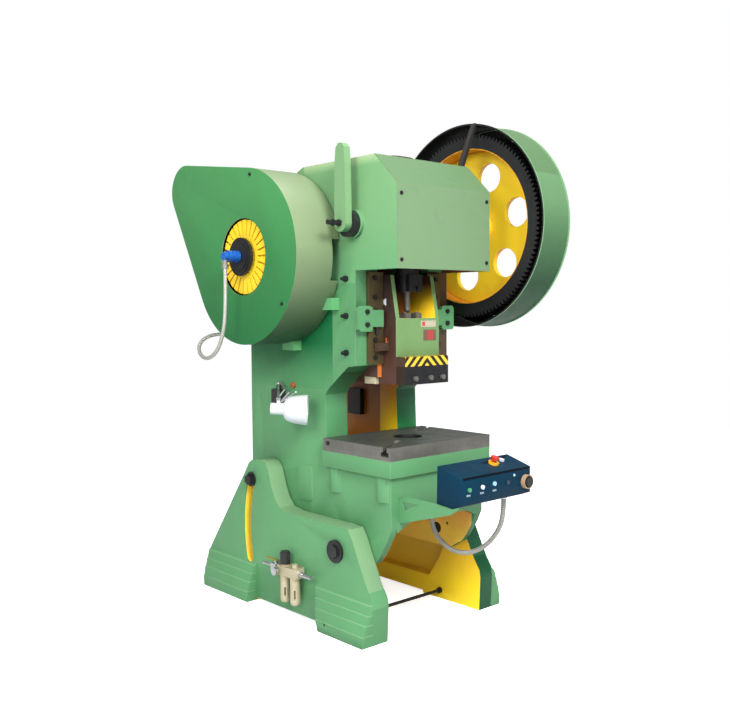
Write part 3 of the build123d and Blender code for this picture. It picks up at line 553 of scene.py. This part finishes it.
def addGloss(tree, shader, noise, roughness, spread):
    down, up = spread
    gloss = addNode(tree, "ShaderNodeMapRange", inputs={
        0: noise.outputs["Fac"], 1: 0.3, 2: 0.7, 3: roughness - down, 4: roughness + up})
    tree.links.new(gloss.outputs[0], shader.inputs["Roughness"])


def paintZones(tree, found, colour, zoneList):
    for zone, limits in zoneList:
        colour = mixColour(tree, zoneMask(tree, found, limits), colour, zoneColour(tree, found, zone))
    return colour


paintWearAndShade = {
    "patches": {"Scale": 2.6, "Detail": 4.0, "Roughness": 0.55},
    "grime": {"Scale": 11.0, "Detail": 8.0, "Roughness": 0.7},
    "grimeColour": (60, 70, 58),
    "mostGrime": 0.16,
    "mostUnderShade": 0.8,      # how far a face that points down takes the darker colour, as painted shade
    "shine": 0.4,
}


def makePaint(name, values, zoneList=()):
    finish, tree, shader, found = startFinish(name)
    patches = addNode(tree, "ShaderNodeTexNoise", inputs={"Vector": found["spots"], **paintWearAndShade["patches"]})
    specks = addNode(tree, "ShaderNodeTexNoise", inputs={
        "Vector": found["spots"], "Scale": values["grain"], "Detail": 2.0})
    colour = mixColour(tree, patches.outputs["Fac"], fromScreen(values["colour"]),
                       fromScreen(values["second"]))
    # Faces that point down darken towards the paint's darker colour: painted shade.
    downwardShade = addNode(tree, "ShaderNodeMapRange", inputs={
        0: found["nz"], 1: 0.1, 2: -0.75, 3: 0.0, 4: paintWearAndShade["mostUnderShade"]})
    colour = mixColour(tree, downwardShade.outputs[0], colour, fromScreen(values["under"]))
    colour = paintZones(tree, found, colour, zoneList)
    grime = addNode(tree, "ShaderNodeTexNoise", inputs={"Vector": found["spots"], **paintWearAndShade["grime"]})
    dirt = addNode(tree, "ShaderNodeMapRange", inputs={
        0: grime.outputs["Fac"], 1: 0.58, 2: 0.8, 3: 0.0, 4: paintWearAndShade["mostGrime"]})
    colour = mixColour(tree, dirt.outputs[0], colour, fromScreen(paintWearAndShade["grimeColour"]))
    tree.links.new(colour, shader.inputs["Base Color"])
    addGloss(tree, shader, grime, values["roughness"], (0.06, 0.1))
    shader.inputs["Specular IOR Level"].default_value = values.get("shine", paintWearAndShade["shine"])
    addBump(tree, shader, specks.outputs["Fac"], values["bump"], 0.001)
    return finish


def makeMetal(name, values, zoneList=()):
    finish, tree, shader, found = startFinish(name)
    stretch = addNode(tree, "ShaderNodeMapping", inputs={"Vector": found["spots"], "Scale": values["grain"]})
    brushed = addNode(tree, "ShaderNodeTexNoise", inputs={
        "Vector": stretch.outputs[0], "Scale": 1.0, "Detail": 6.0, "Roughness": 0.6})
    patches = addNode(tree, "ShaderNodeTexNoise", inputs={
        "Vector": found["spots"], "Scale": 9.0, "Detail": 5.0, "Roughness": 0.6})
    blend = calc(tree, "ADD", calc(tree, "MULTIPLY", brushed.outputs["Fac"], 0.5),
                 calc(tree, "MULTIPLY", patches.outputs["Fac"], 0.5))
    sharper = addNode(tree, "ShaderNodeMapRange", inputs={0: blend, 1: 0.35, 2: 0.65, 3: 0.0, 4: 1.0})
    colour = mixColour(tree, sharper.outputs[0], fromScreen(values["colour"]), fromScreen(values["second"]))
    colour = paintZones(tree, found, colour, zoneList)
    tree.links.new(colour, shader.inputs["Base Color"])
    shader.inputs["Metallic"].default_value = values["metallic"]
    addGloss(tree, shader, patches, values["roughness"], (0.07, 0.1))
    addBump(tree, shader, brushed.outputs["Fac"], values["bump"], 0.001)
    return finish


def makePlastic(name, values, zoneList=()):
    finish, tree, shader, found = startFinish(name)
    grain = addNode(tree, "ShaderNodeTexNoise", inputs={
        "Vector": found["spots"], "Scale": values["grain"], "Detail": 2.0})
    patches = addNode(tree, "ShaderNodeTexNoise", inputs={
        "Vector": found["spots"], "Scale": 24.0, "Detail": 4.0})
    colour = mixColour(tree, patches.outputs["Fac"], fromScreen(values["colour"]),
                       fromScreen(values["second"]))
    colour = paintZones(tree, found, colour, zoneList)
    tree.links.new(colour, shader.inputs["Base Color"])
    addGloss(tree, shader, patches, values["roughness"], (0.05, 0.08))
    addBump(tree, shader, grain.outputs["Fac"], values["bump"], 0.0006)
    return finish


def makeStripes(name, values):
    finish, tree, shader, found = startFinish(name)
    along = calc(tree, "ADD", readExtra(tree, found, "ax"), found["z"])
    part = calc(tree, "FRACT", calc(tree, "DIVIDE", along, values["pitch"]))
    black = calc(tree, "GREATER_THAN", part, 0.5)
    worn = addNode(tree, "ShaderNodeTexNoise", inputs={
        "Vector": found["spots"], "Scale": 60.0, "Detail": 6.0})
    tint = mixColour(tree, worn.outputs["Fac"], fromScreen(values["colour"]), fromScreen(values["second"]))
    colour = mixColour(tree, black, tint, fromScreen(values["dark"]))
    ends = calc(tree, "GREATER_THAN", calc(tree, "ABSOLUTE", found["nx"]), 0.5)
    colour = mixColour(tree, ends, colour, fromScreen(values["side"]))
    tree.links.new(colour, shader.inputs["Base Color"])
    shader.inputs["Roughness"].default_value = 0.4
    addBump(tree, shader, worn.outputs["Fac"], 0.05, 0.001)
    return finish


fullTurn = 6.2832


def makeBraid(name, values):
    finish, tree, shader, found = startFinish(name)
    spots = addNode(tree, "ShaderNodeTexCoord")
    axes = addNode(tree, "ShaderNodeSeparateXYZ", inputs={0: spots.outputs["UV"]})
    along = calc(tree, "MULTIPLY", axes.outputs[0], values["turns"])
    around = calc(tree, "MULTIPLY", axes.outputs[1], values["strands"])
    one = calc(tree, "SINE", calc(tree, "MULTIPLY", calc(tree, "ADD", along, around), fullTurn))
    two = calc(tree, "SINE", calc(tree, "MULTIPLY", calc(tree, "SUBTRACT", along, around), fullTurn))
    weave = calc(tree, "MAXIMUM", one, two) if values["crossed"] else calc(
        tree, "SINE", calc(tree, "MULTIPLY", along, fullTurn))
    tone = addNode(tree, "ShaderNodeMapRange", inputs={0: weave, 1: -0.4, 2: 1.0, 3: 0.0, 4: 1.0})
    colour = mixColour(tree, tone.outputs[0], fromScreen(values["second"]), fromScreen(values["colour"]))
    tree.links.new(colour, shader.inputs["Base Color"])
    shader.inputs["Metallic"].default_value = values["metallic"]
    shader.inputs["Roughness"].default_value = values["roughness"]
    addBump(tree, shader, weave, 0.6, 0.0012)
    return finish


stripes = {"colour": (244, 206, 60), "second": (226, 186, 50), "dark": (34, 26, 20), "side": (66, 46, 36),
           "pitch": 0.05}
braids = {
    "hose_braid": {"colour": (206, 204, 196), "second": (120, 118, 112), "turns": 150.0, "strands": 6.0,
                   "crossed": True, "metallic": 0.5, "roughness": 0.4},
    "conduit_grey": {"colour": (188, 186, 178), "second": (120, 120, 116), "turns": 110.0, "strands": 1.0,
                     "crossed": False, "metallic": 0.2, "roughness": 0.45},
}

finishes = {}
for name, values in paints.items():
    finishes[name] = makePaint(name, values)
for name, values in metals.items():
    finishes[name] = makeMetal(name, values)
for name, values in plastics.items():
    finishes[name] = makePlastic(name, values)
for name, values in braids.items():
    finishes[name] = makeBraid(name, values)
finishes["hazard_stripes"] = makeStripes("hazard_stripes", stripes)
for name, base in (("frame_green", "green_paint"), ("leg_green", "green_paint"),
                   ("guard_green", "green_paint"), ("belt_guard_green", "green_paint"),
                   ("slide_green", "green_paint"), ("gear_yellow", "yellow_paint"),
                   ("brackets", "black_paint"), ("console_navy", "navy_paint"),
                   ("cover_green", "cover_sheen_paint"), ("green_edge", "edge_highlight_paint")):
    finishes[name] = makePaint(name, paints[base], zones[name])
for name, base in (("bolster_steel", "machined_steel"), ("clamp_steel", "dark_steel"),
                   ("unit_beige", "air_unit_metal")):
    finishes[name] = makeMetal(name, metals[base], zones[name])
for name, base in (("light_caps", "white_plastic"), ("collars", "yellow_plastic"),
                   ("plates", "white_plastic")):
    finishes[name] = makePlastic(name, plastics[base], zones[name])
print("finishes made")

# Finishes on the cad nodes
nodeFinishes = {
    "press_frame": "frame_green", "left_leg": "leg_green", "right_leg": "leg_green",
    "gear_guard": "guard_green", "belt_guard": "belt_guard_green", "slide": "slide_green",
    "head_cover": "cover_green", "side_lever": "lever_sheen_paint",
    "bull_gear": "gear_yellow", "console_box": "console_navy",
    "hazard_bar": "hazard_stripes", "shank_clamp": "clamp_steel",
    "bolster": "bolster_steel", "slide_guides": "olive_steel", "pinion_shaft": "blackened_teeth",
    "clutch_disc": "yellow_paint", "console_lights": "light_caps", "button_collars": "collars",
    "guard_brackets": "brackets", "slide_plates": "plates", "air_unit_body": "unit_beige",
    "shutoff_lever": "olive_lever", "knockout_bar": "cast_steel", "oil_tubes": "cast_steel",
}


def dressNodes():
    for name, node in nodes.items():
        slots = node.material_slots
        for slot in slots:
            old = slot.material.name.split(".")[0] if slot.material else "green_paint"
            wanted = nodeFinishes.get(name, old)
            if wanted not in finishes:
                print("no finish for", name, old)
                wanted = "green_paint"
            slot.material = finishes[wanted]
    print("nodes dressed:", len(nodes))


dressNodes()

# Rounded edges and small pieces
# The press has soft cast edges that catch the light, so these copies stand for the CAD pieces.
# The bevel faces of the legs, frame and belt guard take a paler green edge finish: a painted highlight on
# the rounded edges.
roundedPieces = {
    "left_leg": {"body": "base", "width": 0.007, "edge": "green_edge"},
    "right_leg": {"body": "base", "width": 0.007, "edge": "green_edge"},
    "belt_guard": {"body": "frame", "width": 0.006, "edge": "green_edge"},
    "press_frame": {"body": "frame", "width": 0.007, "edge": "green_edge", "seam": 0.285},
    "console_box": {"body": "frame", "width": 0.006, "edge": "console_navy"},
    "slide": {"body": "ram", "width": 0.003, "edge": "slide_green"},
    "bolster": {"body": "frame", "width": 0.003, "edge": "bolster_steel"},
    "lamp_box": {"body": "frame", "width": 0.004, "edge": "black_plastic"},
}


softEdges = {
    "turn": math.radians(32),       # edges that turn more than this are rounded
    "cosine": 0.82,                 # the same limit for the large pieces, as the normals' product
    "merge": 0.00001,
    "flat": math.radians(0.5),
}


def pick(item):
    bpy.ops.object.select_all(action="DESELECT")
    item.select_set(True)
    bpy.context.view_layer.objects.active = item


def bevelEdges(item, width, steps=3):
    bevel = item.modifiers.new("edges", "BEVEL")
    bevel.width = width
    bevel.segments = steps
    bevel.limit_method = "ANGLE"
    bevel.angle_limit = softEdges["turn"]
    bpy.ops.object.modifier_apply(modifier=bevel.name)
    bpy.ops.object.shade_smooth_by_angle(angle=softEdges["turn"])


def markSharp(mesh, seam):
    weights = mesh.attributes.new("bevel_weight_edge", "FLOAT", "EDGE")
    meeting = {}
    for face in mesh.polygons:
        for key in face.edge_keys:
            meeting.setdefault(key, []).append(face.normal)
    for edge in mesh.edges:
        normals = meeting.get(edge.key, [])
        places = [mesh.vertices[number].co.x for number in edge.vertices]
        onSeam = seam and all(abs(abs(place) - seam) < 0.0005 for place in places)
        if len(normals) == 2 and normals[0].dot(normals[1]) < softEdges["cosine"] and not onSeam:
            weights.data[edge.index].value = 1.0


def roundPiece(name, values):
    pick(nodes[name])
    bpy.ops.object.duplicate()
    copy = bpy.context.object
    copy.name = name + "_rounded"
    bpy.ops.object.parent_clear(type="CLEAR_KEEP_TRANSFORM")
    bpy.ops.object.transform_apply()
    bpy.ops.object.mode_set(mode="EDIT")
    bpy.ops.mesh.select_all(action="SELECT")
    bpy.ops.mesh.remove_doubles(threshold=softEdges["merge"])
    bpy.ops.mesh.dissolve_limited(angle_limit=softEdges["flat"])
    bpy.ops.mesh.normals_make_consistent(inside=False)
    bpy.ops.object.mode_set(mode="OBJECT")
    markSharp(copy.data, values.get("seam"))
    copy.data.materials.append(finishes[values["edge"]])
    bevel = copy.modifiers.new("edges", "BEVEL")
    bevel.width = values["width"]
    bevel.segments = 3
    bevel.limit_method = "WEIGHT"
    bevel.material = 1
    bpy.ops.object.modifier_apply(modifier=bevel.name)
    bpy.ops.object.shade_smooth_by_angle(angle=softEdges["turn"])
    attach(copy, values["body"])
    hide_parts(name)


for name, values in roundedPieces.items():
    roundPiece(name, values)
print("edges rounded:", len(roundedPieces))

smallPieces = {
    "wall_cap": {"form": "disc", "place": (-0.331, -0.0945, 1.191), "size": (0.017, 0.012),
                 "turn": (0, 90, 0), "body": "frame", "finish": "orange_plastic", "slot": "red_plastic",
                 "edge": 0.003},
    "slide_side_block": {"form": "block", "place": (-0.1655, -0.536, 1.236), "size": (0.024, 0.083, 0.044),
                         "body": "ram", "finish": "air_unit_metal", "edge": 0.003},
    "bolster_side_screw": {"form": "disc", "place": (-0.3575, -0.4125, 0.916), "size": (0.011, 0.007),
                           "turn": (0, 90, 0), "body": "frame", "finish": "dark_steel", "edge": 0.001},
    # Black blocks in the bowl guards' slits: painted shade in the openings.
    "filter_slit": {"form": "block", "place": (-0.4869, -0.2141, 0.137), "size": (0.006, 0.006, 0.044),
                    "body": "base", "finish": "black_plastic", "edge": 0.0005},
    "oiler_slit": {"form": "block", "place": (-0.4869, -0.2971, 0.137), "size": (0.006, 0.006, 0.044),
                   "body": "base", "finish": "black_plastic", "edge": 0.0005},
    "start_light": {"form": "disc", "place": (0.119, -1.2265, 0.801), "size": (0.006, 0.004),
                    "turn": (90, 0, 0), "body": "frame", "finish": "pale_glass", "slot": "white_plastic",
                    "edge": 0.001},
}
for name, x in (("left_label", -0.205), ("middle_label", -0.113), ("right_label", -0.025)):
    smallPieces[name] = {"form": "block", "place": (x, -1.2262, 0.748), "size": (0.026, 0.001, 0.009),
                         "body": "frame", "finish": "label_white", "slot": "white_plastic",
                         "edge": 0.0002}


discSides = 32


def addSmall(name, values):
    turn = [math.radians(angle) for angle in values.get("turn", (0, 0, 0))]
    if values["form"] == "disc":
        radius, depth = values["size"]
        bpy.ops.mesh.primitive_cylinder_add(vertices=discSides, radius=radius, depth=depth,
                                            location=values["place"], rotation=turn)
    else:
        bpy.ops.mesh.primitive_cube_add(size=1, location=values["place"], scale=values["size"])
    piece = bpy.context.object
    piece.name = name
    bpy.ops.object.transform_apply()
    bevelEdges(piece, values["edge"])
    piece.data.materials.append(finishes[values["finish"]])
    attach(piece, values["body"])


# A thin black ring behind the gear's teeth, inside the guard: a dark sheet that paints the shade inside the
# guard.
guardRing = {
    "centre": (0.629, *pressLines["crank"]),
    "inner": 0.484,
    "outer": 0.5312,
    "thick": 0.002,
    "steps": 96,
    "body": "frame",
    "finish": "black_paint",
}


def addGuardRing(values):
    bpy.ops.mesh.primitive_circle_add(vertices=values["steps"], radius=values["inner"])
    ring = bpy.context.object
    ring.name = "gear_guard_shade_ring"
    bpy.ops.object.mode_set(mode="EDIT")
    bpy.ops.mesh.select_all(action="SELECT")
    bpy.ops.mesh.extrude_edges_move()
    grow = values["outer"] / values["inner"]
    bpy.ops.transform.resize(value=(grow, grow, 1), center_override=(0, 0, 0))
    bpy.ops.mesh.select_all(action="SELECT")
    bpy.ops.mesh.extrude_region_move(TRANSFORM_OT_translate={"value": (0, 0, values["thick"])})
    bpy.ops.mesh.select_all(action="SELECT")
    bpy.ops.mesh.normals_make_consistent(inside=False)
    bpy.ops.object.mode_set(mode="OBJECT")
    ring.rotation_euler = (0, math.radians(90), 0)
    ring.location = values["centre"]
    bpy.ops.object.transform_apply()
    ring.data.materials.append(finishes[values["finish"]])
    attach(ring, values["body"])


addGuardRing(guardRing)

lampLinks = {
    "points": [(-0.3465, -0.009, 1.203), (-0.378, -0.085, 1.172), (-0.384, -0.024, 1.112),
               (-0.390, -0.140, 1.160), (-0.384, -0.051, 1.098), (-0.390, -0.1485, 1.141),
               (-0.402, -0.215, 1.166)],
    "bars": [(0, 1), (1, 2), (3, 4), (4, 5), (5, 6)],
    "radius": 0.0055,
    "sides": 20,
    "edge": 0.0015,
    "body": "lamp_link",
    "finish": "bright_steel",
}


def addLampLinks(values):
    for number, (first, last) in enumerate(values["bars"]):
        start = Vector(values["points"][first])
        end = Vector(values["points"][last])
        turn = (end - start).to_track_quat("Z", "Y").to_euler()
        bpy.ops.mesh.primitive_cylinder_add(
            vertices=values["sides"], radius=values["radius"], location=(start + end) / 2,
            depth=(end - start).length + values["radius"], rotation=turn)
        bar = bpy.context.object
        bar.name = "lamp_bar_" + str(number + 1)
        bpy.ops.object.transform_apply()
        bevelEdges(bar, values["edge"], 2)
        bar.data.materials.append(finishes[values["finish"]])
        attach(bar, values["body"])


addLampLinks(lampLinks)

lampShade = {
    "mouth": (-0.388, -0.2885, 1.077),
    "reach": (0.746, -0.666, -0.05),
    "length": 0.188,
    "profile": [(0.030, 0.0), (0.030, 0.062), (0.034, 0.068), (0.048, 0.074), (0.059, 0.086), (0.067, 0.104),
                (0.072, 0.130), (0.0755, 0.160), (0.078, 0.188), (0.076, 0.188), (0.0735, 0.160),
                (0.070, 0.130), (0.065, 0.106), (0.057, 0.089), (0.046, 0.078), (0.026, 0.074)],
    "steps": 64,
    "smooth": math.radians(40),
    "stud": (0.009, 0.010, 0.044),      # radius, low end and high end above the neck
    "studSteps": 24,
    "neck": 0.04,
    "body": "lamp_head",
    "finish": "white_enamel",
}


def addLampShade(values):
    reach = Vector(values["reach"]).normalized()
    base = Vector(values["mouth"]) - reach * values["length"]
    radius, height = values["profile"][0]
    bpy.ops.mesh.primitive_circle_add(vertices=values["steps"], radius=radius, fill_type="NGON")
    shade = bpy.context.object
    shade.name = "bell_lamp_shade"
    bpy.ops.object.mode_set(mode="EDIT")
    bpy.ops.mesh.select_all(action="SELECT")
    for nextRadius, nextHeight in values["profile"][1:]:
        bpy.ops.mesh.extrude_region_move(TRANSFORM_OT_translate={"value": (0, 0, nextHeight - height)})
        grow = nextRadius / radius
        bpy.ops.transform.resize(value=(grow, grow, 1), center_override=(0, 0, nextHeight))
        radius, height = nextRadius, nextHeight
    bpy.ops.mesh.select_all(action="SELECT")
    bpy.ops.mesh.normals_make_consistent(inside=False)
    bpy.ops.object.mode_set(mode="OBJECT")
    shade.rotation_euler = reach.to_track_quat("Z", "Y").to_euler()
    shade.location = base
    bpy.ops.object.transform_apply()
    bpy.ops.object.shade_smooth_by_angle(angle=values["smooth"])
    studRadius, low, high = values["stud"]
    neck = base + reach * values["neck"]
    bpy.ops.mesh.primitive_cylinder_add(vertices=values["studSteps"], radius=studRadius, depth=high - low,
                                        location=(neck.x, neck.y, neck.z + (low + high) / 2))
    stud = bpy.context.object
    stud.name = "lamp_shade_stud"
    bpy.ops.object.transform_apply()
    for piece in (shade, stud):
        piece.data.materials.append(finishes[values["finish"]])
        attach(piece, values["body"])
        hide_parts("lamp_shade")


addLampShade(lampShade)
print("lamp made")

for name, values in smallPieces.items():
    addSmall(name, values)
print("small pieces added:", len(smallPieces))

hoseCord.data.materials.append(finishes["hose_braid"])
conduitCord.data.materials.append(finishes["conduit_grey"])
